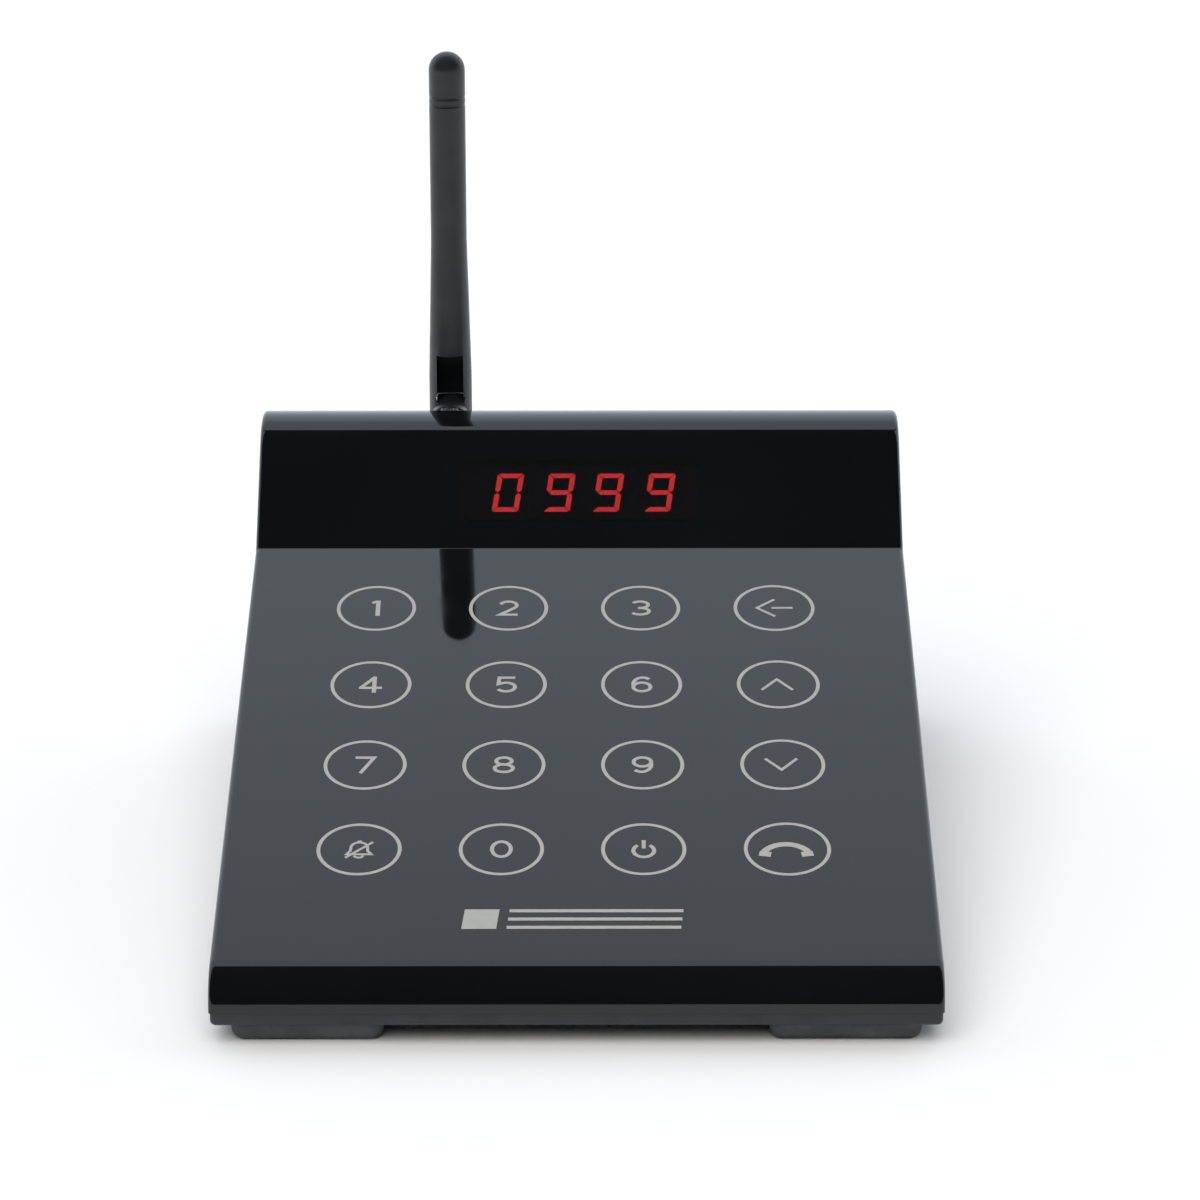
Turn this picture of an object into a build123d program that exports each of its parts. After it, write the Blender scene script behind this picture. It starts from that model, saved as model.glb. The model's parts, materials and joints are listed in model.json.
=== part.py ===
from build123d import *
import os
from math import cos, radians, sin, tan

# Desk console of a restaurant paging system, built as the separate pieces that it comes apart into.
# Millimetres, +Z up. The user stands at -Y and +X is to that user's right. The origin is on the
# table top, at the middle of the object's length and width, with its antenna upright.

# ---------------------------------------------------------------- driving dimensions
body_width = 150.0
body_depth = 193.1
overall_length = 220.1
crease_from_front = 153.4
crease_height = 55.2
keypad_slope = 15.0
display_slope = 43.0
wall = 2.2

lip_radius = 9.2
crease_radius = 1.0
top_radius = 15.0
top_from_crease = 38.4
top_back_slope = 25.0
rear_edge_radius = 4.0
side_edge_radius = 1.2

foot_height = 4.0
seam_height = 6.9
case_inset = 0.3

key_pitch = 30.0
key_grid_from_crease = 69.6
key_grid_shift = -1.0

digit_height = 10.16
digit_width = 6.2
digit_slant = 8.0
digit_pair_pitch = 12.0
digit_middle_pitch = 11.4
digit_group_shift = 1.0
digits_from_crease = 15.4

antenna_x = -31.5
antenna_height = 69.0
antenna_base_radius = 5.15
antenna_tip_radius = 4.3
antenna_reach = 89.6

# ---------------------------------------------------------------- positions that follow from them
front_y = -overall_length / 2
rear_y = front_y + body_depth
crease_y = front_y + crease_from_front
crease_z = crease_height
hinge_y = overall_length / 2 - antenna_base_radius
inside_rear_y = rear_y - wall


def slope_location(slope, along):
    """Spot on the cover's skin, along mm up the given slope from the crease, with local Z outwards."""
    angle = radians(slope)
    spot = (0, crease_y + along * cos(angle), crease_z + along * sin(angle))
    return Plane(origin=spot, x_dir=(1, 0, 0), z_dir=(0, -sin(angle), cos(angle))).location


keypad_spot = slope_location(keypad_slope, -key_grid_from_crease)
display_spot = slope_location(display_slope, digits_from_crease)
jack_spot = Location((antenna_x, rear_y, antenna_height), (-90, 0, 0))
hinge_spot = Location((antenna_x, hinge_y, antenna_height))


# ---------------------------------------------------------------- small helpers
def standing_box(width, depth, height, centre=(0, 0), floor=0.0):
    """Upright block from floor up, centred on an X, Y place."""
    place = Pos(centre[0], centre[1], floor)
    return place * Box(width, depth, height, align=(Align.CENTER, Align.CENTER, Align.MIN))


def standing_rod(radius, height, centre=(0, 0), floor=0.0):
    """Upright cylinder from floor up, centred on an X, Y place."""
    place = Pos(centre[0], centre[1], floor)
    return place * Cylinder(radius, height, align=(Align.CENTER, Align.CENTER, Align.MIN))


def rounded_plate(width, depth, height, radius, floor=0.0):
    """Flat plate with round upright corners, from floor up, centred on the local origin."""
    return Pos(0, 0, floor) * extrude(RectangleRounded(width, depth, radius), height)


def side_slab(outline, width):
    """Outline in the YZ plane made solid, half the width to each side."""
    return extrude(outline, width / 2, both=True)


def four_places(x, rear, front):
    """The four X, Y places at plus and minus x, at the rear and front Y given."""
    return [(side * x, y) for y in (rear, front) for side in (-1, 1)]


# ---------------------------------------------------------------- cover
screw_places = four_places(64.0, 52.0, -86.0)
board_screw_places = four_places(50.0, 68.0, 10.0)
display_post_x = 37.0
window_width = 56.0
window_height = 17.0
window_corner = 1.5
window_flange = 1.5
window_flange_thickness = 1.0
antenna_seat_radius = 6.2
antenna_seat_height = 0.8
jack_thread_radius = 3.17
screw_boss_radius = 3.5
case_pad_height = 4.4
board_height = 12.0
board_thickness = 1.6
dc_jack_x = 38.0
dc_jack_axis_height = board_height + board_thickness + 6.5
dc_opening_radius = 4.4
module_face_depth = 1.8
module_depth = 7.0
display_board_depth = module_face_depth + module_depth


def cover_outline(bottom):
    """Side outline of the cover: front, keypad slope, display slope, short fall behind the top, rear."""
    lip_z = crease_z - crease_from_front * tan(radians(keypad_slope))
    top_y = crease_y + top_from_crease * cos(radians(display_slope))
    top_z = crease_z + top_from_crease * sin(radians(display_slope))
    rear_z = top_z - (rear_y - top_y) * tan(radians(top_back_slope))
    corners = [(front_y, lip_z), (crease_y, crease_z), (top_y, top_z), (rear_y, rear_z)]
    points = [(0, y, z) for y, z in [(front_y, bottom), *corners, (rear_y, bottom)]]
    outline = make_face(Polyline(points, close=True))
    for (y, z), radius in zip(corners, (lip_radius, crease_radius, top_radius, rear_edge_radius)):
        corner = outline.vertices().sort_by_distance((0, y, z))[0]
        outline = fillet(corner, radius)
    return outline


def cover_skin():
    """Outer form of the cover, its two side edges rounded."""
    block = side_slab(cover_outline(seam_height), body_width)
    ends = block.faces().filter_by(Axis.X)
    edges = [edge for edge in ends.edges() if edge.bounding_box().max.Z > seam_height + 0.01]
    return fillet(edges, side_edge_radius)


def cover_hollow():
    """Room inside the cover, open at the seam."""
    outline = offset(cover_outline(seam_height - 2 * wall), -wall, kind=Kind.INTERSECTION)
    return side_slab(outline, body_width - 2 * wall)


def antenna_seat():
    """Raised round seat for the antenna jack on the rear wall."""
    return jack_spot * standing_rod(antenna_seat_radius, antenna_seat_height + wall / 2, floor=-wall / 2)


def cover_bosses():
    """Screw bosses down to the lower case, and the two posts that the display board hangs on."""
    boss_floor = foot_height + case_pad_height
    bosses = [standing_rod(screw_boss_radius, 70, place, boss_floor) for place in screw_places]
    post = Cylinder(3.0, display_board_depth, align=(Align.CENTER, Align.CENTER, Align.MAX))
    posts = [display_spot * Pos(side * display_post_x, 0, 0) * post for side in (-1, 1)]
    return bosses + posts


def cover_holes():
    """Screw holes, the display opening, the antenna hole and the power inlet hole."""
    holes = [standing_rod(1.25, 6.4, place, foot_height + case_pad_height) for place in screw_places]
    pilot = standing_rod(0.95, 5.0, floor=-display_board_depth)
    holes += [display_spot * Pos(side * display_post_x, 0, 0) * pilot for side in (-1, 1)]
    holes.append(display_spot * rounded_plate(window_width, window_height, 10, window_corner, -5))
    holes.append(jack_spot * Cylinder(jack_thread_radius + 0.08, 20))
    inlet_spot = Location((dc_jack_x, rear_y, dc_jack_axis_height), (-90, 0, 0))
    holes.append(inlet_spot * Cylinder(dc_opening_radius, 10))
    return holes


def top_cover():
    """Glossy one-piece cover with the keypad slope, the display slope and all four walls."""
    skin = cover_skin()
    shell = skin - cover_hollow()
    shell += [boss & skin for boss in cover_bosses()]
    shell += antenna_seat()
    return shell - cover_holes()


def display_window():
    """Smoked insert, flush with the cover, with a flange behind it and a pocket for the digits."""
    plug = rounded_plate(window_width, window_height, wall, window_corner, -wall)
    flange_size = (window_width + 2 * window_flange, window_height + 2 * window_flange)
    flange = rounded_plate(*flange_size, window_flange_thickness, 2.0, -wall - window_flange_thickness)
    pocket = rounded_plate(window_width - 3, window_height - 2.4, 5, 1.0, -5 - module_face_depth + 0.2)
    return display_spot * (plug + flange - pocket)


# ---------------------------------------------------------------- lower case and feet
foot_places = four_places(55.0, 70.0, -102.2)
foot_width = 32.0
foot_depth = 13.0
foot_recess = 0.6
case_floor = 2.2
lip_thickness = 1.3
lip_rise = 2.0


def case_form(inset, bottom, top):
    """Plain block with the case's plan, drawn in by the inset on every side."""
    middle_y = (front_y + rear_y) / 2
    return standing_box(body_width - 2 * inset, body_depth - 2 * inset, top - bottom, (0, middle_y), bottom)


def lower_case():
    """Shallow tray that closes the cover from below and carries the main board."""
    tray = case_form(case_inset, foot_height, seam_height)
    tray = fillet(tray.edges().filter_by(Axis.Z), side_edge_radius)
    tray = fillet(tray.faces().sort_by(Axis.Z)[0].edges(), 1.1)
    lip_inset = wall + 0.15
    tray += case_form(lip_inset, seam_height, seam_height + lip_rise)
    floor_top = foot_height + case_floor
    tray -= case_form(lip_inset + lip_thickness, floor_top, seam_height + lip_rise)
    pad_top = foot_height + case_pad_height
    tray += [standing_rod(4.5, pad_top - foot_height, place, foot_height) for place in screw_places]
    post_height = board_height - foot_height
    tray += [standing_rod(3.2, post_height, place, foot_height) for place in board_screw_places]
    tray -= [standing_rod(1.7, 10, place, foot_height) for place in screw_places]
    tray -= [standing_rod(3.1, 2.4, place, foot_height) for place in screw_places]
    tray -= [standing_rod(1.0, 6, place, board_height - 5.5) for place in board_screw_places]
    recess = rounded_plate(foot_width + 0.2, foot_depth + 0.2, foot_recess, 3.1, foot_height)
    return tray - [Pos(x, y, 0) * recess for x, y in foot_places]


def foot():
    """Boat-shaped pad with drafted sides, a rounded lower edge and a tab for the case's recess."""
    outline = RectangleRounded(foot_width, foot_depth, 3.0)
    hull = Pos(0, 0, foot_height) * extrude(outline, foot_height, dir=(0, 0, -1), taper=12)
    hull = fillet(hull.faces().sort_by(Axis.Z)[0].edges(), 2.2)
    return hull + rounded_plate(foot_width, foot_depth, foot_recess, 3.0, foot_height)


# ---------------------------------------------------------------- screws
def pan_screw(shank_radius, shank_length, head_radius, head_height):
    """Pan-head screw, head underneath and shank upwards from the local origin, with a cross recess."""
    shank = standing_rod(shank_radius, shank_length)
    head = standing_rod(head_radius, head_height, floor=-head_height)
    head = fillet(head.edges().sort_by(Axis.Z)[0], 0.6)
    slot = Pos(0, 0, -head_height) * Box(head_radius * 1.1, 0.7, 1.6)
    return shank + head - slot - Rot(0, 0, 90) * slot


def case_screws():
    """Four screws from below, through the case's pads into the cover's bosses."""
    screw = pan_screw(1.25, 8.0, 2.9, 1.9)
    return [Pos(x, y, foot_height + 2.4) * screw for x, y in screw_places]


def board_screws():
    """Four screws that hold the main board on the posts of the lower case."""
    screw = Rot(180, 0, 0) * pan_screw(1.0, 6.0, 2.2, 1.5)
    return [Pos(x, y, board_height + board_thickness) * screw for x, y in board_screw_places]


def display_screws():
    """Two screws that hold the display board against the cover's posts."""
    screw = pan_screw(0.95, 5.0, 2.0, 1.4)
    depth = -display_board_depth - board_thickness
    return [display_spot * Pos(side * display_post_x, 0, depth) * screw for side in (-1, 1)]


# ---------------------------------------------------------------- display
def digit_centres():
    """X place of each digit, from left to right."""
    half = digit_middle_pitch / 2
    return [digit_group_shift + x for x in (-half - digit_pair_pitch, -half, half, half + digit_pair_pitch)]


def digit_bars():
    """Outlines of the seven bars of one digit by their usual letters, leaning to the right."""
    x, y = digit_width / 2, digit_height / 2
    thick, cut, gap = 1.2, 0.4, 0.1
    flat = [(cut - x, y), (x - cut, y), (x - cut / 2 - gap, y - cut / 2), (x - thick - gap, y - thick),
            (thick + gap - x, y - thick), (cut / 2 + gap - x, y - cut / 2)]
    upright = [(x, y - cut), (x, thick / 2 + gap), (x - thick / 2, gap), (x - thick, thick / 2 + gap),
               (x - thick, y - thick - gap), (x - cut / 2, y - cut / 2 - gap)]
    end = x - thick / 2 - gap
    middle = [(-end, 0), (thick / 2 - end, thick / 2), (end - thick / 2, thick / 2), (end, 0),
              (end - thick / 2, -thick / 2), (thick / 2 - end, -thick / 2)]
    flipped = {"a": (flat, 1, 1), "b": (upright, 1, 1), "c": (upright, 1, -1), "d": (flat, 1, -1),
               "e": (upright, -1, -1), "f": (upright, -1, 1), "g": (middle, 1, 1)}
    lean = tan(radians(digit_slant))
    bars = {}
    for bar, (points, i, j) in flipped.items():
        bars[bar] = [(i * px + lean * j * py, j * py) for px, py in points]
    return bars


def bar_solid(points, depth):
    """One light bar or its pocket, flush with the module's face."""
    outline = make_face(Polyline(points, close=True))
    return Pos(0, 0, -module_face_depth) * extrude(outline, depth, dir=(0, 0, -1))


shown_digits = ["abcdef", "abcdfg", "abcdfg", "abcdfg"]
bar_depth = 1.0
pin_column_pitch = 2.0


def display_bars(lit):
    """Light bars of all four digits that are lit, or those that are dark."""
    bars = []
    for centre, lit_bars in zip(digit_centres(), shown_digits):
        for bar, points in digit_bars().items():
            if (bar in lit_bars) == lit:
                bars.append(display_spot * Pos(centre, 0, 0) * bar_solid(points, bar_depth))
    return bars


def digit_module(centre):
    """Housing of one digit, with a pocket for each light bar."""
    block = rounded_plate(10.0, 13.0, module_depth, 0.3, -display_board_depth)
    pockets = [bar_solid(points, bar_depth) for points in digit_bars().values()]
    return display_spot * Pos(centre, 0, 0) * (block - pockets)


def digit_pins():
    """Two rows of five pins behind each digit, through the display board."""
    pin = Cylinder(0.25, 3.4, align=(Align.CENTER, Align.CENTER, Align.MAX))
    columns = [pin_column_pitch * column for column in range(-2, 3)]
    places = [(centre + x, y) for centre in digit_centres() for x in columns for y in (-5.0, 5.0)]
    return [display_spot * Pos(x, y, -display_board_depth) * pin for x, y in places]


def display_board():
    """Board behind the digits, held by two screws."""
    floor = -display_board_depth - board_thickness
    board = rounded_plate(2 * display_post_x + 8.0, 18.0, board_thickness, 1.5, floor)
    cuts = [Pos(side * display_post_x, 0, -display_board_depth) * Cylinder(1.2, 5) for side in (-1, 1)]
    return display_spot * (board - cuts) - digit_pins()


def display_driver():
    """Driver chip on the back of the display board."""
    back = -display_board_depth - board_thickness
    return display_spot * rounded_plate(10.0, 5.0, 1.6, 0.2, back - 1.6)


# ---------------------------------------------------------------- touch keypad
adhesive = 0.3
touch_board_size = (112.0, 112.0)
touch_board_thickness = 1.2
touch_pad_radius = 8.0
touch_back = -wall - adhesive - touch_board_thickness


def key_places():
    """Centres of the sixteen keys on the keypad slope, row by row from the top."""
    steps = [key_pitch * step for step in (-1.5, -0.5, 0.5, 1.5)]
    return [(x + key_grid_shift, -y) for y in steps for x in steps]


def touch_adhesive():
    """Adhesive sheet that bonds the touch board under the cover, with a hole for each pad."""
    sheet = rounded_plate(*touch_board_size, adhesive, 2.0, -wall - adhesive)
    holes = [Pos(x, y, -wall) * Cylinder(touch_pad_radius + 0.3, 2) for x, y in key_places()]
    return keypad_spot * (sheet - holes)


def touch_pads():
    """Sixteen copper pads that sense a finger through the cover."""
    pad = Pos(0, 0, -wall - adhesive) * extrude(Circle(touch_pad_radius), 0.2)
    return [keypad_spot * Pos(x, y, 0) * pad for x, y in key_places()]


def touch_board():
    """Touch board under the whole keypad."""
    return keypad_spot * rounded_plate(*touch_board_size, touch_board_thickness, 2.0, touch_back)


def touch_controller():
    """Touch-sensing chip on the back of the touch board."""
    return keypad_spot * rounded_plate(10.0, 7.5, 2.0, 0.2, touch_back - 2.0)


# ---------------------------------------------------------------- main board
main_board_centre = (0.0, 39.0)
main_board_size = (112.0, 68.0)
board_top = board_height + board_thickness
processor_place = (-4.0, 36.0)
radio_place = (-34.0, 46.0)
buzzer_place = (22.0, 24.0)
capacitor_places = ((26.0, 50.0), (34.0, 50.0))
regulator_place = (46.0, 48.0)
ribbon_x = 14.0
socket_size = (14.0, 4.0, 2.5)


def main_board():
    """Main board on the four posts of the lower case."""
    board = standing_box(*main_board_size, board_thickness, main_board_centre, board_height)
    return board - [standing_rod(1.3, 10, place, board_height - 2) for place in board_screw_places]


def microcontroller():
    """Square processor chip with its leads, as one block."""
    body = standing_box(10.0, 10.0, 1.4, processor_place, board_top + 0.1)
    return body + standing_box(12.0, 12.0, 0.5, processor_place, board_top)


def crystal():
    """Clock crystal beside the processor."""
    place = Pos(processor_place[0] - 12.0, processor_place[1], board_top)
    return place * extrude(RectangleRounded(4.6, 11.0, 2.2), 3.5)


def radio_module():
    """Small radio board with a coaxial socket at its rear end."""
    board = standing_box(18.0, 26.0, 1.0, radio_place, board_top)
    socket = standing_rod(1.3, 1.8, (radio_place[0], radio_place[1] + 10.0), board_top + 1.0)
    return board + socket


def radio_shield():
    """Tin can over the radio's circuit, hollow inside."""
    centre = (radio_place[0], radio_place[1] - 3.0)
    can = standing_box(15.0, 17.0, 2.8, centre, board_top + 1.0)
    return can - standing_box(14.4, 16.4, 2.5, centre, board_top + 1.0)


def buzzer():
    """Round key-click sounder with a sound hole."""
    can = standing_rod(6.0, 8.5, buzzer_place, board_top)
    can = fillet(can.edges().sort_by(Axis.Z)[-1], 0.5)
    return can - standing_rod(1.0, 3.0, buzzer_place, board_top + 6.5)


def capacitors():
    """Two electrolytic capacitors beside the power inlet."""
    can = standing_rod(3.15, 7.7)
    can = fillet(can.edges().sort_by(Axis.Z)[-1], 0.5)
    return [Pos(x, y, board_top) * can for x, y in capacitor_places]


def voltage_regulator():
    """Regulator with its metal tab, as one block."""
    x, y = regulator_place
    tab = standing_box(5.4, 2.6, 0.6, (x, y + 4.2), board_top)
    return standing_box(6.6, 6.2, 2.3, regulator_place, board_top) + tab


def dc_jack_body():
    """Housing of the power inlet, facing the rear, with a round barrel socket."""
    length = 14.0
    centre_y = inside_rear_y - 0.2 - length / 2
    block = standing_box(9.0, length, 11.0, (dc_jack_x, centre_y), board_top)
    return block - power_inlet_spot() * Pos(0, 0, -5.0) * Cylinder(3.15, 10.0)


def power_inlet_spot():
    """Mouth of the power inlet, local Z pointing out of the rear."""
    return Location((dc_jack_x, inside_rear_y - 0.2, dc_jack_axis_height), (-90, 0, 0))


def dc_jack_pin():
    """Centre pin of the power inlet, with a round nose."""
    pin = Pos(0, 0, -5.5) * Cylinder(1.0, 9.0)
    return power_inlet_spot() * fillet(pin.edges().sort_by(Axis.Z)[-1], 0.6)


# ---------------------------------------------------------------- ribbon cables
def ribbon(points, radius):
    """Flat ribbon that follows points in the YZ plane at the ribbons' X place."""
    route = FilletPolyline(*[(y, z) for y, z in points], radius=radius)
    strip = Plane.YZ.offset(ribbon_x - 5) * trace(route, 0.3)
    return extrude(strip, 10.0, dir=(1, 0, 0))


def touch_socket_spot():
    """Face of the ribbon socket on the back of the touch board, local Z outwards from the board."""
    return keypad_spot * Pos(ribbon_x, 40.0, touch_back) * Rot(180, 0, 0)


def display_socket_spot():
    """Face of the ribbon socket on the back of the display board, local Z outwards from the board."""
    return display_spot * Pos(ribbon_x, 0.0, -display_board_depth - board_thickness) * Rot(180, 0, 0)


def main_socket_spots():
    """Places of the two ribbon sockets on the main board: for the touch board and the display."""
    return [Location((ribbon_x, y, board_top)) for y in (12.0, 36.0)]


def ribbon_sockets():
    """Four flat-cable sockets, two on the main board and one on each of the other boards."""
    block = standing_box(*socket_size)
    return [spot * block for spot in [touch_socket_spot(), display_socket_spot(), *main_socket_spots()]]


def ribbon_ends(upper, lower):
    """Start and end of a ribbon at two sockets, each with a point straight out from it."""
    tops = [spot * Pos(0, 0, out) for spot, out in ((upper, socket_size[2]), (upper, 8.0))]
    bottoms = [spot * Pos(0, 0, out) for spot, out in ((lower, 8.0), (lower, socket_size[2]))]
    return [(place.position.Y, place.position.Z) for place in tops + bottoms]


def touch_ribbon():
    """Ribbon from the touch board down to the main board."""
    return ribbon(ribbon_ends(touch_socket_spot(), main_socket_spots()[0]), 2.5)


def display_ribbon():
    """Ribbon from the display board down to the main board."""
    return ribbon(ribbon_ends(display_socket_spot(), main_socket_spots()[1]), 2.5)


# ---------------------------------------------------------------- antenna jack and its coax
jack_flange_top = -wall
nut_floor = antenna_seat_height
washer_thickness = 0.6
nut_thickness = 2.2
coupling_floor = nut_floor + washer_thickness + nut_thickness + 0.6
coupling_length = 8.0
jack_thread_top = 9.4


def across_flats(width, height, floor):
    """Hexagonal block of the given width across its flats."""
    return Pos(0, 0, floor) * extrude(RegularPolygon(width / 2, 6, major_radius=False), height)


def antenna_jack():
    """Threaded bulkhead jack with a hexagonal flange inside the cover."""
    length = jack_thread_top - jack_flange_top
    barrel = standing_rod(jack_thread_radius, length, floor=jack_flange_top)
    flange = across_flats(8.0, 1.8, jack_flange_top - 1.8)
    ferrule = standing_rod(1.8, 3.0, floor=jack_flange_top - 4.8)
    bore = standing_rod(2.1, 12, floor=jack_thread_top - 9.0)
    through = standing_rod(0.65, 30, floor=jack_flange_top - 6)
    return jack_spot * (barrel + flange + ferrule - bore - through)


def jack_insulator():
    """White insulator inside the jack."""
    plug = standing_rod(2.1, 5.0, floor=jack_thread_top - 9.0) - standing_rod(0.65, 20, floor=-4)
    return jack_spot * plug


def jack_contact():
    """Gold socket contact on the jack's axis."""
    rod = standing_rod(0.65, 6.4, floor=jack_thread_top - 10.0)
    return jack_spot * (rod - standing_rod(0.5, 5.2, floor=jack_thread_top - 8.6))


def antenna_nut():
    """Thin nut that clamps the jack to the cover."""
    nut = across_flats(8.0, nut_thickness, nut_floor + washer_thickness)
    return jack_spot * (nut - Cylinder(jack_thread_radius, 30))


def antenna_washer():
    """Lock washer under the nut."""
    disc = standing_rod(4.6, washer_thickness, floor=nut_floor)
    return jack_spot * (disc - Cylinder(jack_thread_radius, 30))


def bend_radii(points):
    """Bend radius at each inner point: the largest that leaves a tenth of the shorter run straight."""
    runs = [after - before for before, after in zip(points, points[1:])]
    pairs = list(zip(runs, runs[1:]))
    return [0.45 * min(a.length, b.length) / tan(radians(a.get_angle(b) / 2)) for a, b in pairs]


def antenna_coax():
    """Thin coaxial lead from the radio's socket, round the display board, to the back of the jack."""
    socket = Vector(radio_place[0], radio_place[1] + 10.0, board_top + 2.8)
    jack = (jack_spot * Pos(0, 0, jack_flange_top - 4.8)).position
    points = [socket, socket + (0, 0, 9.6), socket + (-8.0, 1.0, 14.6), socket + (-14.5, 4.0, 26.0),
              jack + (-16.0, -5.0, -14.0), jack + (-11.0, -5.0, -5.0), jack + (-3.5, -6.0, -1.0),
              jack + (0, -5.0, 0), jack]
    route = FilletPolyline(*points, radius=bend_radii(points))
    return sweep(Plane(origin=socket, z_dir=(0, 0, 1)) * Circle(0.6), path=route)


# ---------------------------------------------------------------- antenna
tongue_width = 6.8
fork_gap = 7.2
hub_radius = 5.0
hub_clearance = 0.4
fork_gap_top = hub_radius + 0.5
pocket_width = 6.4
pocket_top = 15.8
pocket_back = 3.1
groove_heights = (77.0, 78.8)
pin_radius = 1.0
running_fit = 0.05
neck_radius = 2.4
neck_flange_radius = 3.0
tongue_start = 5.6


def coupling_nut():
    """Knurled nut that screws the antenna onto the jack, with a running bore for the swivel neck."""
    length = coupling_length
    grip = standing_rod(4.7, length, floor=coupling_floor)
    flats = [Rot(0, 0, 15 * turn) * Pos(4.9, 0, coupling_floor + length / 2) * Cylinder(0.4, length + 1)
             for turn in range(24)]
    inside = standing_rod(jack_thread_radius + 0.05, length - 1.6, floor=coupling_floor)
    return jack_spot * (grip - flats - inside - Cylinder(neck_radius + running_fit, 60))


def antenna_base():
    """Swivelling base: a captive neck in the coupling nut, a round barrel and a flat-sided tongue."""
    to_hinge = hinge_y - rear_y
    inner_face = coupling_floor + coupling_length - 1.6
    flange = standing_rod(neck_flange_radius, 0.8, floor=inner_face - 0.9)
    neck = standing_rod(neck_radius, 3.0, floor=inner_face - 0.9)
    barrel_floor = coupling_floor + coupling_length + 0.2
    barrel_top = to_hinge - tongue_start
    barrel = standing_rod(antenna_base_radius - 0.2, barrel_top - barrel_floor, floor=barrel_floor)
    barrel = fillet(barrel.edges().sort_by(Axis.Z)[0], 0.6)
    round_bar = standing_rod(antenna_base_radius, to_hinge + hub_radius - barrel_top, floor=barrel_top)
    flat_bar = standing_box(tongue_width, 40, tongue_start, floor=barrel_top)
    hub = Pos(0, 0, to_hinge) * Rot(0, 90, 0) * Cylinder(hub_radius, tongue_width)
    tongue = round_bar & (flat_bar + hub)
    hole = Pos(0, 0, to_hinge) * Rot(0, 90, 0) * Cylinder(pin_radius + running_fit, 20)
    return jack_spot * (flange + neck + barrel + tongue - hole - Cylinder(0.45, 2 * barrel_floor + 4))


def antenna_plug_pin():
    """Centre pin of the antenna's plug, fixed in the base and free to turn in the jack's contact."""
    tip = jack_thread_top - 7.0
    root = coupling_floor + coupling_length + 2.2
    return jack_spot * standing_rod(0.45, root - tip, floor=tip)


def sheath_outline():
    """Half outline of the antenna's sheath about its own axis, from the fork's end to the round tip."""
    fork_end = -antenna_base_radius
    flare_start, flare_end = 10.0, 44.0
    tip_centre = antenna_reach - antenna_tip_radius
    lines = Polyline((0, fork_end), (antenna_base_radius, fork_end), (antenna_base_radius, flare_start),
                     (antenna_tip_radius, flare_end), (antenna_tip_radius, tip_centre))
    cap = RadiusArc((antenna_tip_radius, tip_centre), (0, antenna_reach), -antenna_tip_radius)
    return Plane.XZ * make_face(lines + cap + Line((0, antenna_reach), (0, fork_end)))


def antenna_sheath():
    """Moulded sheath: fork at the foot, flared shaft, two fine grooves and a domed tip, hollow inside."""
    sheath = revolve(sheath_outline(), Axis.Z)
    round_foot = Rot(0, 90, 0) * Cylinder(antenna_base_radius, 20) + standing_box(20, 20, 100)
    sheath &= round_foot
    sheath -= standing_box(fork_gap, 20, 10, floor=-10)
    sheath -= Rot(0, 90, 0) * Cylinder(hub_radius + hub_clearance, fork_gap)
    sheath -= standing_box(fork_gap, 20, fork_gap_top, (0, pocket_back - 10))
    sheath -= standing_box(pocket_width, 20, pocket_top - fork_gap_top, (0, pocket_back - 10), fork_gap_top)
    sheath -= standing_rod(2.6, antenna_reach - 24.0, floor=18.0)
    sheath -= [Pos(0, 0, height) * Torus(antenna_tip_radius + 0.12, 0.3) for height in groove_heights]
    sheath -= Rot(0, 90, 0) * Cylinder(pin_radius, 20)
    return hinge_spot * sheath


def hinge_pin():
    """Steel pin through the fork's ears and the tongue."""
    return hinge_spot * Rot(0, 90, 0) * Cylinder(pin_radius, 9.6)


def radiator_rod():
    """Insulated core of the radiator, inside the sheath."""
    return hinge_spot * standing_rod(1.2, 60.0, floor=20.0)


def radiator_sleeve():
    """Brass sleeve of the radiator around the lower half of the core."""
    return hinge_spot * (standing_rod(2.0, 28.0, floor=20.0) - standing_rod(1.2, 60.0, floor=0))


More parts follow.
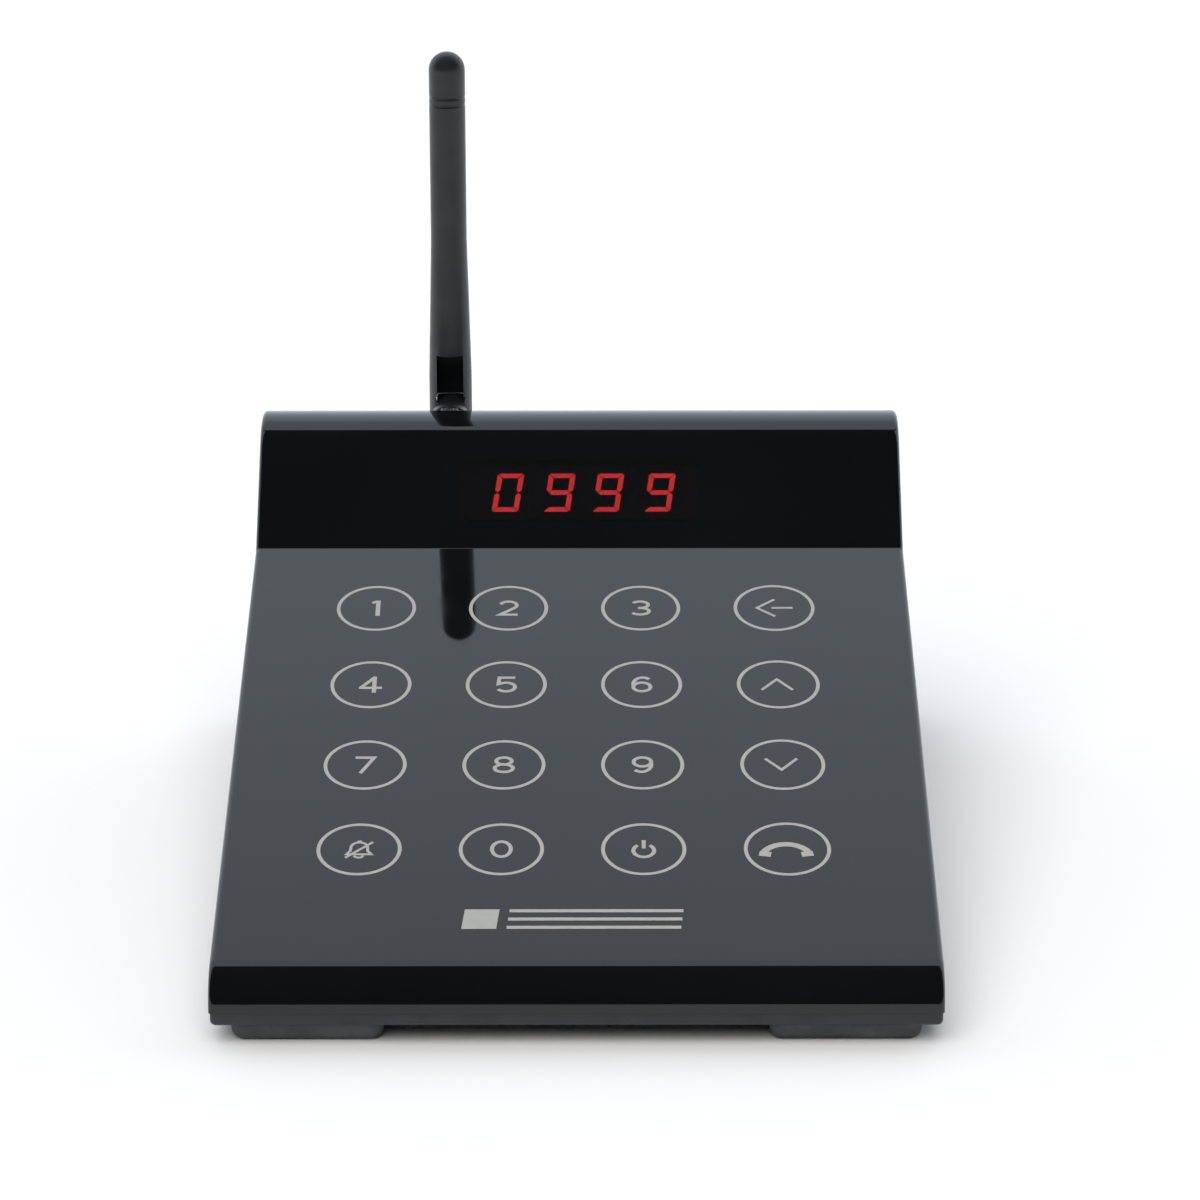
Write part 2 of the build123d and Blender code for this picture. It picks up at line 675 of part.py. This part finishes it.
# ---------------------------------------------------------------- writing the pieces
def all_pieces():
    """Every node by name: one solid each, or a list where identical small pieces share a node."""
    pieces = {
        "top_cover": top_cover(),
        "display_window": display_window(),
        "lower_case": lower_case(),
        "case_screws": case_screws(),
        "display_bars_lit": display_bars(True),
        "display_bars_dark": display_bars(False),
        "digit_pins": digit_pins(),
        "display_board": display_board(),
        "display_driver": display_driver(),
        "display_screws": display_screws(),
        "touch_adhesive": touch_adhesive(),
        "touch_pads": touch_pads(),
        "touch_board": touch_board(),
        "touch_controller": touch_controller(),
        "main_board": main_board(),
        "board_screws": board_screws(),
        "microcontroller": microcontroller(),
        "crystal": crystal(),
        "radio_module": radio_module(),
        "radio_shield": radio_shield(),
        "buzzer": buzzer(),
        "capacitors": capacitors(),
        "voltage_regulator": voltage_regulator(),
        "dc_jack_body": dc_jack_body(),
        "dc_jack_pin": dc_jack_pin(),
        "ribbon_sockets": ribbon_sockets(),
        "touch_ribbon": touch_ribbon(),
        "display_ribbon": display_ribbon(),
        "antenna_coax": antenna_coax(),
        "antenna_jack": antenna_jack(),
        "jack_insulator": jack_insulator(),
        "jack_contact": jack_contact(),
        "antenna_washer": antenna_washer(),
        "antenna_nut": antenna_nut(),
        "coupling_nut": coupling_nut(),
        "antenna_base": antenna_base(),
        "antenna_plug_pin": antenna_plug_pin(),
        "hinge_pin": hinge_pin(),
        "antenna_sheath": antenna_sheath(),
        "radiator_rod": radiator_rod(),
        "radiator_sleeve": radiator_sleeve(),
    }
    for number, centre in enumerate(digit_centres(), start=1):
        pieces[f"digit_module_{number}"] = digit_module(centre)
    corners = ("rear_left", "rear_right", "front_left", "front_right")
    for corner, (x, y) in zip(corners, foot_places):
        pieces[f"foot_{corner}"] = Pos(x, y, 0) * foot()
    return pieces


def write_pieces():
    """Write each node to its own STEP file."""
    os.makedirs("parts", exist_ok=True)
    for name, piece in all_pieces().items():
        shape = Compound(children=piece) if isinstance(piece, list) else piece
        export_step(shape, f"parts/{name}.step")


write_pieces()
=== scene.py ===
import json
from math import cos, pi, radians, sin

import bmesh
import bpy
from mathutils import Matrix, Vector

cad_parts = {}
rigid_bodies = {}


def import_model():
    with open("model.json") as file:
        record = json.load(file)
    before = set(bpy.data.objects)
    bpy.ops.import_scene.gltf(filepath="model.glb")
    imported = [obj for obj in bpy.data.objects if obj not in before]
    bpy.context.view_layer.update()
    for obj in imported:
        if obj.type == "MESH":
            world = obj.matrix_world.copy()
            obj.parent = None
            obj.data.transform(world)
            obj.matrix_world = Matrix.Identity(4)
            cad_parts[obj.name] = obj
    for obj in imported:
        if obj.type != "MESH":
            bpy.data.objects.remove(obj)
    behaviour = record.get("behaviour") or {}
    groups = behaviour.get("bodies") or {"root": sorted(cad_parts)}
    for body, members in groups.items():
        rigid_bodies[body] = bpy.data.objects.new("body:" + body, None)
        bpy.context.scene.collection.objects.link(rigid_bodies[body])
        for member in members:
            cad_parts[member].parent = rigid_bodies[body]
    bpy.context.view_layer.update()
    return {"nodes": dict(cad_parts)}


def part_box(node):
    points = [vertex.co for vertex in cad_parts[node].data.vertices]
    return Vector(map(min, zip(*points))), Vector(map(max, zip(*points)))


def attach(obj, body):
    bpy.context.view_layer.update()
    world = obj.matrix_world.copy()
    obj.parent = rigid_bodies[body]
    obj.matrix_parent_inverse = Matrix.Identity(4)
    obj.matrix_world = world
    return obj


# Looks, stage and camera for the paging console, in metres and in the same frame as the CAD model.
# Radii, line widths and outlines of the inked legends are in millimetres, and mm turns them into metres.
for leftover in list(bpy.data.objects):
    bpy.data.objects.remove(leftover)
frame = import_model()
scene = bpy.context.scene
mm = 0.001

# ---------------------------------------------------------------- driving values
key_pitch = 30.0 * mm
ring_radius = 8.58
wide_ring_radius = 8.79
wide_ring_shift = 0.3
ring_line = 0.8
symbol_line = 0.85
thin_line = 0.68
ink_height = 0.04 * mm
ink_layer = 0.004 * mm
ornament_below_grid = 68.75

camera_place = Vector((0.0056, -0.9559, 0.3918))
camera_target = Vector((0.0048, -0.0119, 0.0618))
camera_roll = radians(-0.069)
camera_lens = 136.57
sensor_width = 36.0

digit_glow = 33.0
window_clearness = 0.82


# ---------------------------------------------------------------- the keypad plane, from the CAD
def keypad_frame():
    """Matrix from the keypad's own axes (X right, Y up the slope, Z out) to the row frame."""
    faces = frame["nodes"]["top_cover"].data.polygons
    sloping_up = [face for face in faces if face.normal.y < -0.2 and face.normal.z > 0.9]
    skin = max(sloping_up, key=lambda face: face.area)
    out = skin.normal.normalized()
    low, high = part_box("touch_pads")
    middle = (low + high) / 2
    centre = middle + out * out.dot(skin.center - middle)
    right = Vector((1, 0, 0))
    axes = Matrix((right, out.cross(right), out)).transposed().to_4x4()
    return Matrix.Translation(centre) @ axes


# ---------------------------------------------------------------- flat inked lines
def arc(centre, radius_x, radius_y, start, end, steps=24):
    """Points along part of an ellipse, angles in degrees."""
    angles = [radians(start + (end - start) * step / steps) for step in range(steps + 1)]
    return [(centre[0] + radius_x * cos(angle), centre[1] + radius_y * sin(angle)) for angle in angles]


def edges_of_line(points, width, closed):
    """Left and right edge points of a line of the given width, mitred at its corners."""
    points = [Vector(point) for point in points]
    edges = []
    for index, point in enumerate(points):
        before = points[index - 1] if index or closed else None
        after = points[(index + 1) % len(points)] if index < len(points) - 1 or closed else None
        runs = [(point - before).normalized() if before is not None else None,
                (after - point).normalized() if after is not None else None]
        runs = [run for run in runs if run is not None]
        along = sum(runs, Vector((0, 0))).normalized()
        side = Vector((-along.y, along.x)) * (width / 2 / along.dot(runs[0]))
        edges.append((point + side, point - side))
    return edges


def add_line(mesh, points, width, top, closed=False):
    """Closed thin solid along a line, sunk a little into the skin and rising to top."""
    rows = []
    for left, right in edges_of_line(points, width, closed):
        corners = [(left, top), (right, top), (right, -ink_height), (left, -ink_height)]
        rows.append([mesh.verts.new((*(edge * mm), level)) for edge, level in corners])
    pairs = list(zip(rows, rows[1:] + rows[:1]))
    for row, following in pairs if closed else pairs[:-1]:
        for corner in range(4):
            after = (corner + 1) % 4
            mesh.faces.new((row[corner], following[corner], following[after], row[after]))
    if not closed:
        mesh.faces.new(rows[0])
        mesh.faces.new(rows[-1][::-1])


def add_plate(mesh, outline, top):
    """Closed thin solid over a filled outline."""
    upper = [mesh.verts.new((x * mm, y * mm, top)) for x, y in outline]
    lower = [mesh.verts.new((x * mm, y * mm, -ink_height)) for x, y in outline]
    mesh.faces.new(upper)
    mesh.faces.new(lower[::-1])
    for index in range(len(outline)):
        after = (index + 1) % len(outline)
        mesh.faces.new((upper[after], upper[index], lower[index], lower[after]))


def legend(name, place, strokes, ink):
    """One inked legend on the keypad: each stroke is (points, width, closed), or an outline to fill."""
    mesh = bmesh.new()
    for layer, stroke in enumerate(strokes):
        top = ink_height + layer * ink_layer
        if isinstance(stroke, tuple):
            points, width, closed = stroke
            add_line(mesh, points, width, top, closed)
        else:
            add_plate(mesh, stroke, top)
    bmesh.ops.recalc_face_normals(mesh, faces=mesh.faces)
    data = bpy.data.meshes.new(name)
    mesh.to_mesh(data)
    mesh.free()
    piece = bpy.data.objects.new(name, data)
    scene.collection.objects.link(piece)
    piece.matrix_world = place
    data.materials.append(ink)
    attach(piece, "console")


# ---------------------------------------------------------------- the legends
def line(*points, width=symbol_line):
    """An open stroke through the points."""
    return (list(points), width, False)


def loop(centre, radius_x, radius_y, width=symbol_line):
    """A closed oval stroke."""
    return (arc(centre, radius_x, radius_y, 0, 360, 48)[:-1], width, True)


def ring(column):
    """The round outline of a key; those of the right column are a little larger."""
    radius = wide_ring_radius if column == 3 else ring_radius
    shift = wide_ring_shift if column == 3 else 0.0
    return (arc((shift, 0), radius, radius, 0, 360, 96)[:-1], ring_line, True)


def six():
    """The numeral 6, which turned round is also the 9."""
    bowl = loop((0.05, -0.98), 1.9, 1.64)
    return [bowl, line(*arc((0.25, 0.0), 2.12, 2.62, 188, 48))]


def numerals():
    """Strokes of the ten numerals, each about 6 mm high round its middle."""
    high = 2.62
    six_strokes = six()
    nine_strokes = [([(-x, -y) for x, y in points], width, closed) for points, width, closed in six_strokes]
    return {
        "1": [line((0.35, -3.05), (0.35, 3.05), width=1.0), line((0.1, 2.75), (-1.0, 2.05))],
        "2": [line(*arc((0.0, 1.1), 1.85, 1.52, 165, -38), (-1.9, -high), (2.1, -high))],
        "3": [line(*arc((-0.1, 1.31), 1.8, 1.31, 150, -90), (-0.6, 0.0)),
              line(*arc((-0.1, -1.31), 2.0, 1.31, 90, -150))],
        "4": [line((0.75, -3.05), (0.75, 3.05), width=0.95), line((0.7, 2.7), (-2.25, -1.25)),
              line((-2.6, -1.25), (2.5, -1.25))],
        "5": [line((1.95, high), (-1.55, high), (-1.75, 0.15), *arc((-0.05, -0.97), 2.0, 1.65, 128, -150))],
        "6": six_strokes,
        "7": [line((-2.2, high), (1.85, high), (-0.95, -3.05))],
        "8": [loop((0.0, 1.36), 1.68, 1.26), loop((0.0, -1.27), 1.98, 1.37)],
        "9": nine_strokes,
        "0": [loop((0.0, 0.0), 1.98, 2.6)],
    }


def arrow_left():
    """Back arrow: an open head and a separate bar."""
    head = line((0.45, 3.4), (-3.6, 0.0), (0.45, -3.4), width=thin_line)
    bar = line((-0.3, 0.0), (4.5, 0.0), width=thin_line)
    return [head, bar]


def chevron(direction):
    """Open arrow head that points up (1) or down (-1)."""
    reach, tip, foot = 3.45, 1.9 * direction, -2.15 * direction
    return [line((-reach, foot), (0.0, tip), (reach, foot), width=thin_line)]


def bell_off():
    """Bell outline with its knob and clapper, crossed out."""
    fine = 0.6
    right_side = [(1.75, 0.6), (1.85, -0.6), (2.6, -1.75)]
    left_side = [(-x, y) for x, y in reversed(right_side)]
    body = (left_side + arc((0.0, 0.6), 1.75, 1.75, 180, 0)[1:-1] + right_side, fine, True)
    knob = line((0.0, 2.3), (0.0, 3.0), width=0.9)
    clapper = line(*arc((0.0, -1.95), 1.0, 0.95, 195, 345), width=fine)
    slash = line((-2.85, -2.95), (2.85, 2.45), width=fine)
    return [body, knob, clapper, slash]


def standby():
    """Open ring with a bar through its gap."""
    return [line(*arc((0.0, -0.55), 2.2, 2.2, 125, 415)), line((0.0, 0.2), (0.0, 3.05))]


def handset():
    """Telephone handset lying on its side, seen from in front."""
    bow = line(*arc((0.0, -4.1), 5.6, 5.7, 146, 34), width=1.5)
    pad = [(-5.85, -2.35), (-5.5, -0.65), (-3.05, -1.15), (-3.35, -2.75)]
    mirrored = [(-x, y) for x, y in reversed(pad)]
    return [bow, pad, mirrored]


def ornament():
    """Plain trim below the keys: a slanted block followed by three stripes."""
    half_height = 3.25
    slant = 0.6
    end, block_end, stripe_start = 22.8, -15.6, -13.2
    block = [(-end, -half_height), (-end + slant, half_height), (block_end + slant, half_height),
             (block_end, -half_height)]
    stripes = []
    for level in (2.75, 0.0, -2.75):
        lean = slant * level / half_height / 2
        stripes.append(line((stripe_start + lean, level), (end + lean, level), width=1.0))
    return [block, *stripes]


def all_legends(ink):
    """The sixteen keys' legends, row by row, and the trim below them."""
    keypad = keypad_frame()
    digits = numerals()
    symbols = [
        ("1", "2", "3", "back"),
        ("4", "5", "6", "up"),
        ("7", "8", "9", "down"),
        ("bell_off", "0", "standby", "handset"),
    ]
    drawn = {**digits, "back": arrow_left(), "up": chevron(1), "down": chevron(-1), "bell_off": bell_off(),
             "standby": standby(), "handset": handset()}
    for row, names in enumerate(symbols):
        for column, name in enumerate(names):
            place = keypad @ Matrix.Translation(((column - 1.5) * key_pitch, (1.5 - row) * key_pitch, 0))
            legend(f"legend_{name}", place, [ring(column), *drawn[name]], ink)
    place = keypad @ Matrix.Translation((0, -ornament_below_grid * mm, 0))
    legend("legend_trim", place, ornament(), ink)


# ---------------------------------------------------------------- material helpers
def new_material(name):
    """Fresh node material and its Principled shader."""
    material = bpy.data.materials.new(name)
    material.use_nodes = True
    return material, material.node_tree.nodes["Principled BSDF"]


def noise(tree, scale, detail=3.0, stretch=(1, 1, 1)):
    """Noise in the object's own space; scale is in bumps per metre."""
    place = tree.nodes.new("ShaderNodeTexCoord")
    mapping = tree.nodes.new("ShaderNodeMapping")
    mapping.inputs["Scale"].default_value = stretch
    node = tree.nodes.new("ShaderNodeTexNoise")
    node.inputs["Scale"].default_value = scale
    node.inputs["Detail"].default_value = detail
    tree.links.new(place.outputs["Object"], mapping.inputs["Vector"])
    tree.links.new(mapping.outputs["Vector"], node.inputs["Vector"])
    return node.outputs["Fac"]


def spread(tree, value, low, high):
    """A noise value stretched to run from low to high."""
    node = tree.nodes.new("ShaderNodeMapRange")
    node.inputs["From Min"].default_value = 0.3
    node.inputs["From Max"].default_value = 0.7
    node.inputs["To Min"].default_value = low
    node.inputs["To Max"].default_value = high
    tree.links.new(value, node.inputs["Value"])
    return node.outputs["Result"]


def between(tree, factor, first, second):
    """Colour that moves from first to second with the factor."""
    node = tree.nodes.new("ShaderNodeMix")
    node.data_type = "RGBA"
    node.inputs["A"].default_value = (*first, 1)
    node.inputs["B"].default_value = (*second, 1)
    tree.links.new(factor, node.inputs["Factor"])
    return node.outputs["Result"]


def bump(tree, shader, height, depth):
    """Raise the surface by the height value times depth metres."""
    node = tree.nodes.new("ShaderNodeBump")
    node.inputs["Distance"].default_value = depth
    tree.links.new(height, node.inputs["Height"])
    tree.links.new(node.outputs["Normal"], shader.inputs["Normal"])


def surface(name, colour, drift=0.15, roughness=(0.4, 0.55), patch=60.0, grain=1500.0, depth=4e-6,
            stretch=(1, 1, 1)):
    """Material with slow colour drift, roughness that follows the handling marks, and a fine grain."""
    material, shader = new_material(name)
    tree = material.node_tree
    slow = spread(tree, noise(tree, patch, 4.0), 0.0, 1.0)
    darker = [channel * (1 - drift) for channel in colour]
    lighter = [channel * (1 + drift) for channel in colour]
    tree.links.new(between(tree, slow, darker, lighter), shader.inputs["Base Color"])
    marks = spread(tree, noise(tree, patch * 3, 6.0, stretch), *roughness)
    tree.links.new(marks, shader.inputs["Roughness"])
    bump(tree, shader, noise(tree, grain, 2.0, stretch), depth)
    return material, shader


# ---------------------------------------------------------------- finishes
def cover_plastic():
    """Black high-gloss plastic with a trace of moulding ripple and faint finger smudges."""
    return surface("cover_plastic", (0.0045, 0.0055, 0.0066), roughness=(0.02, 0.07), patch=25.0,
                   grain=350.0, depth=1.5e-6)[0]


def smoked_window():
    """Deeply smoked plastic, polished like the cover round it, that only the lit bars shine through."""
    material, shader = surface("smoked_window", (0.024, 0.023, 0.026), drift=0.05, roughness=(0.01, 0.03),
                               patch=25.0, grain=350.0, depth=1e-6)
    shader.inputs["Transmission Weight"].default_value = window_clearness
    return material


def case_plastic():
    """Black plastic of the lower case with a spark-eroded texture."""
    return surface("case_plastic", (0.025, 0.0285, 0.037), roughness=(0.45, 0.6), grain=2500.0,
                   depth=1.2e-5)[0]


def foot_rubber():
    """Dark grey rubber with a powdery skin."""
    return surface("foot_rubber", (0.062, 0.066, 0.077), drift=0.25, roughness=(0.7, 0.9), patch=180.0,
                   grain=3500.0, depth=1.5e-5)[0]


def antenna_plastic():
    """Charcoal moulded plastic, matt, a little polished where it is held."""
    return surface("antenna_plastic", (0.014, 0.0155, 0.0185), drift=0.2, roughness=(0.3, 0.42), patch=90.0,
                   grain=3000.0, depth=8e-6)[0]


def moulded(name, colour, roughness=(0.4, 0.6)):
    """Plain moulded plastic of an inside part."""
    return surface(name, colour, roughness=roughness, patch=150.0, grain=2500.0, depth=6e-6)[0]


def metal(name, colour, roughness=(0.2, 0.4), drawn=(1, 1, 1)):
    """Metal with fine machining lines, stretched along the way it was drawn or rolled."""
    material, shader = surface(name, colour, drift=0.1, roughness=roughness, patch=200.0, grain=4000.0,
                               depth=2e-6, stretch=drawn)
    shader.inputs["Metallic"].default_value = 1.0
    return material


def board(name, mask_colour, copper_colour):
    """Printed board: solder mask that shows the copper runs below it."""
    material, shader = new_material(name)
    tree = material.node_tree
    place = tree.nodes.new("ShaderNodeTexCoord")
    runs = tree.nodes.new("ShaderNodeTexBrick")
    runs.inputs["Scale"].default_value = 90.0
    runs.inputs["Mortar Size"].default_value = 0.03
    tree.links.new(place.outputs["Object"], runs.inputs["Vector"])
    colour = between(tree, runs.outputs["Fac"], mask_colour, copper_colour)
    tree.links.new(colour, shader.inputs["Base Color"])
    tree.links.new(spread(tree, noise(tree, 300.0), 0.25, 0.4), shader.inputs["Roughness"])
    bump(tree, shader, runs.outputs["Fac"], 2e-5)
    return material


def film(name, colour, roughness=(0.25, 0.4)):
    """Thin plastic film, slightly rippled."""
    return surface(name, colour, roughness=roughness, patch=120.0, grain=500.0, depth=1.5e-5)[0]


def lit_bar():
    """Light bar that glows red, a little unevenly."""
    material, shader = surface("lit_bar", (0.35, 0.02, 0.02), roughness=(0.4, 0.5), patch=900.0)
    tree = material.node_tree
    glow = spread(tree, noise(tree, 500.0), 0.0, 1.0)
    red = between(tree, glow, (0.85, 0.040, 0.036), (1.0, 0.055, 0.05))
    tree.links.new(red, shader.inputs["Emission Color"])
    shader.inputs["Emission Strength"].default_value = digit_glow
    return material


def key_ink():
    """Light grey screen-printed ink, dry and slightly uneven."""
    return surface("key_ink", (0.40, 0.39, 0.345), drift=0.06, roughness=(0.35, 0.5), patch=400.0,
                   grain=6000.0, depth=3e-6)[0]


def finishes():
    """Material of every slot in the record, by name."""
    return {
        "cover_plastic": cover_plastic(),
        "smoked_window": smoked_window(),
        "case_plastic": case_plastic(),
        "foot_rubber": foot_rubber(),
        "antenna_plastic": antenna_plastic(),
        "screw_steel": metal("screw_steel", (0.42, 0.41, 0.40)),
        "pin_steel": metal("pin_steel", (0.55, 0.54, 0.53), drawn=(0.1, 1, 1)),
        "lit_bar": lit_bar(),
        "dark_bar": moulded("dark_bar", (0.012, 0.009, 0.009)),
        "module_plastic": moulded("module_plastic", (0.006, 0.006, 0.0065)),
        "tinned_pin": metal("tinned_pin", (0.60, 0.60, 0.58)),
        "circuit_board": board("circuit_board", (0.006, 0.06, 0.022), (0.03, 0.13, 0.05)),
        "radio_board": board("radio_board", (0.005, 0.02, 0.09), (0.03, 0.07, 0.18)),
        "chip_plastic": moulded("chip_plastic", (0.018, 0.018, 0.019)),
        "adhesive_film": film("adhesive_film", (0.62, 0.60, 0.52)),
        "copper": metal("copper", (0.72, 0.36, 0.22)),
        "tin_can": metal("tin_can", (0.62, 0.62, 0.60), roughness=(0.3, 0.45), drawn=(1, 0.1, 1)),
        "buzzer_plastic": moulded("buzzer_plastic", (0.015, 0.015, 0.016)),
        "capacitor_sleeve": film("capacitor_sleeve", (0.012, 0.018, 0.06)),
        "jack_plastic": moulded("jack_plastic", (0.014, 0.014, 0.015)),
        "nickel": metal("nickel", (0.60, 0.57, 0.50), roughness=(0.22, 0.36)),
        "socket_plastic": moulded("socket_plastic", (0.55, 0.52, 0.44)),
        "ribbon_film": film("ribbon_film", (0.55, 0.55, 0.53)),
        "coax_jacket": moulded("coax_jacket", (0.02, 0.02, 0.021)),
        "gold_plate": metal("gold_plate", (0.83, 0.60, 0.26)),
        "insulator": moulded("insulator", (0.75, 0.74, 0.70)),
        "radiator_core": moulded("radiator_core", (0.70, 0.69, 0.65)),
        "radiator_brass": metal("radiator_brass", (0.70, 0.52, 0.24), drawn=(1, 1, 0.1)),
    }


def dress_nodes():
    """Give every CAD node the finish of its slot."""
    made = finishes()
    for node in frame["nodes"].values():
        for place in node.material_slots:
            place.material = made[place.material.name.split(".")[0]]


# ---------------------------------------------------------------- stage
studio_light = (0.90, 1.0, 1.12)
studio_strength = 1.4
sky_strength = 2.3
sky_softness = radians(70)
sky_turn = (radians(28), 0, radians(-20))
floor_reach = 4.0
# Brightness of the backdrop by its angle above the floor behind the object, in degrees.
backdrop_levels = ((0.0, 0.90), (49.0, 0.92), (54.0, 0.76), (62.0, 0.80), (74.5, 0.95), (76.5, 0.015),
                   (180.0, 0.01))


def add_world():
    """A bright curved backdrop behind the object up to 75 degrees; the rest of the room is dark."""
    world = bpy.data.worlds.new("studio")
    scene.world = world
    world.use_nodes = True
    tree = world.node_tree
    tree.nodes.clear()
    place = tree.nodes.new("ShaderNodeTexCoord")
    parts = tree.nodes.new("ShaderNodeSeparateXYZ")
    tree.links.new(place.outputs["Generated"], parts.inputs["Vector"])
    climb = tree.nodes.new("ShaderNodeMath")
    climb.operation = "ARCTAN2"
    tree.links.new(parts.outputs["Z"], climb.inputs[0])
    tree.links.new(parts.outputs["Y"], climb.inputs[1])
    share = tree.nodes.new("ShaderNodeMath")
    share.operation = "DIVIDE"
    share.inputs[1].default_value = pi
    tree.links.new(climb.outputs["Value"], share.inputs[0])
    ramp = tree.nodes.new("ShaderNodeValToRGB")
    tree.links.new(share.outputs["Value"], ramp.inputs["Fac"])
    stops = ramp.color_ramp.elements
    while len(stops) < len(backdrop_levels):
        stops.new(0.5)
    for stop, (angle, level) in zip(stops, backdrop_levels):
        stop.position = angle / 180
        stop.color = (*[level * channel / max(studio_light) for channel in studio_light], 1)
    studio = tree.nodes.new("ShaderNodeBackground")
    studio.inputs["Strength"].default_value = studio_strength * max(studio_light)
    tree.links.new(ramp.outputs["Color"], studio.inputs["Color"])
    paper = tree.nodes.new("ShaderNodeBackground")
    paper.inputs["Color"].default_value = (1, 1, 1, 1)
    path = tree.nodes.new("ShaderNodeLightPath")
    choose = tree.nodes.new("ShaderNodeMixShader")
    tree.links.new(path.outputs["Is Camera Ray"], choose.inputs["Fac"])
    tree.links.new(studio.outputs["Background"], choose.inputs[1])
    tree.links.new(paper.outputs["Background"], choose.inputs[2])
    output = tree.nodes.new("ShaderNodeOutputWorld")
    tree.links.new(choose.outputs["Shader"], output.inputs["Surface"])


def add_sky():
    """Wide soft light from far above that gives no mirror image of itself."""
    light = bpy.data.objects.new("front_sky", bpy.data.lights.new("front_sky", "SUN"))
    light.data.energy = sky_strength
    light.data.angle = sky_softness
    light.rotation_euler = sky_turn
    light.visible_glossy = False
    scene.collection.objects.link(light)


def add_floor():
    """Pale floor under the object."""
    material, shader = surface("floor_paper", (0.96, 0.94, 0.92), drift=0.01, roughness=(0.7, 0.8), patch=2.0,
                               grain=600.0, depth=1e-5)
    shader.inputs["Specular IOR Level"].default_value = 0.2
    data = bpy.data.meshes.new("floor")
    corners = [(x * floor_reach, y * floor_reach, 0) for x, y in ((-1, -1), (1, -1), (1, 1), (-1, 1))]
    data.from_pydata(corners, [], [(0, 1, 2, 3)])
    data.materials.append(material)
    floor = bpy.data.objects.new("floor", data)
    scene.collection.objects.link(floor)


def add_camera():
    """Camera at the photograph's viewing angle."""
    camera = bpy.data.objects.new("camera", bpy.data.cameras.new("camera"))
    camera.data.sensor_width = sensor_width
    camera.data.lens = camera_lens
    camera.data.clip_start = 0.01
    aim = (camera_target - camera_place).to_track_quat("-Z", "Y").to_matrix().to_4x4()
    camera.matrix_world = Matrix.Translation(camera_place) @ aim @ Matrix.Rotation(camera_roll, 4, "Z")
    scene.collection.objects.link(camera)
    scene.camera = camera


scene.view_settings.view_transform = "Standard"
dress_nodes()
all_legends(key_ink())
add_world()
add_sky()
add_floor()
add_camera()
